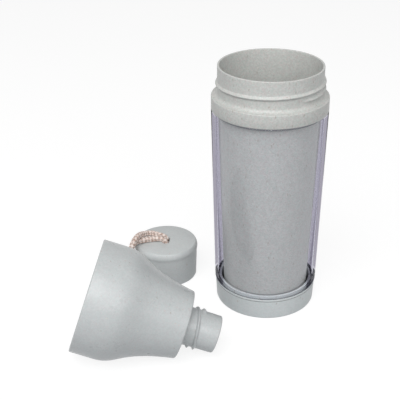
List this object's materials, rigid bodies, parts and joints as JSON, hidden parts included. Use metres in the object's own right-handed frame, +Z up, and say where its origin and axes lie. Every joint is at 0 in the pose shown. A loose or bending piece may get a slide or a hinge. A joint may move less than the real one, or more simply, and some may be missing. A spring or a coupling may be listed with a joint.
{
  "type": "double wall bottle",
  "caption": "Drinking bottle with an inner cup in a clear tapered outer wall, shown apart: open body, screw-on waisted pouring shoulder, and screw cap with a carry cord.",
  "frame": {"origin": "middle of the body's flat underside, on the surface that it stands on", "axes": "+Z up along the body's axis; the front of the layout faces -Y; the shoulder's axis lies in a plane of constant Y, its spout towards +X"},
  "size_m": [0.1589, 0.1524, 0.1657],
  "materials": {
    "liner_fibre": "satin, fine fibre specks",
    "clear_wall": "clear, smooth, faint lilac at its edges",
    "base_fibre": "satin, fine fibre specks",
    "lid_fibre": "satin, fine fibre specks",
    "soft_seal": "matte, translucent white",
    "cord": "braided, matte"
  },
  "bodies": {
    "bottle": {"liner": "liner_fibre", "collar_seal": "soft_seal", "outer_shell": "clear_wall", "base_cap": "base_fibre", "base_seal": "soft_seal"},
    "gasket": {"shoulder_gasket": "soft_seal"},
    "shoulder": {"shoulder": "lid_fibre"},
    "seal": {"cap_seal": "soft_seal"},
    "cap": {"cap_shell": "lid_fibre", "cap_insert": "liner_fibre", "loop_knot": "cord", "carry_loop": "cord"}
  },
  "joints": [
    {"name": "shoulder_lift", "type": "slide", "parent": "bottle", "child": "gasket", "axis": [0, 0, 1], "range_m": [0, 0.2]},
    {"name": "shoulder_turn", "type": "hinge", "parent": "gasket", "child": "shoulder", "pos_m": [-0.1107, -0.0706, 0.0406], "axis": [0.9469, 0, -0.3216], "range_deg": [-125, 125]},
    {"name": "cap_lift", "type": "slide", "parent": "bottle", "child": "seal", "axis": [0, 0, 1], "range_m": [0, 0.2]},
    {"name": "cap_turn", "type": "hinge", "parent": "seal", "child": "cap", "pos_m": [-0.0709, 0.0235, 0], "axis": [0, 0, 1], "range_deg": [-115, 115]}
  ]
}
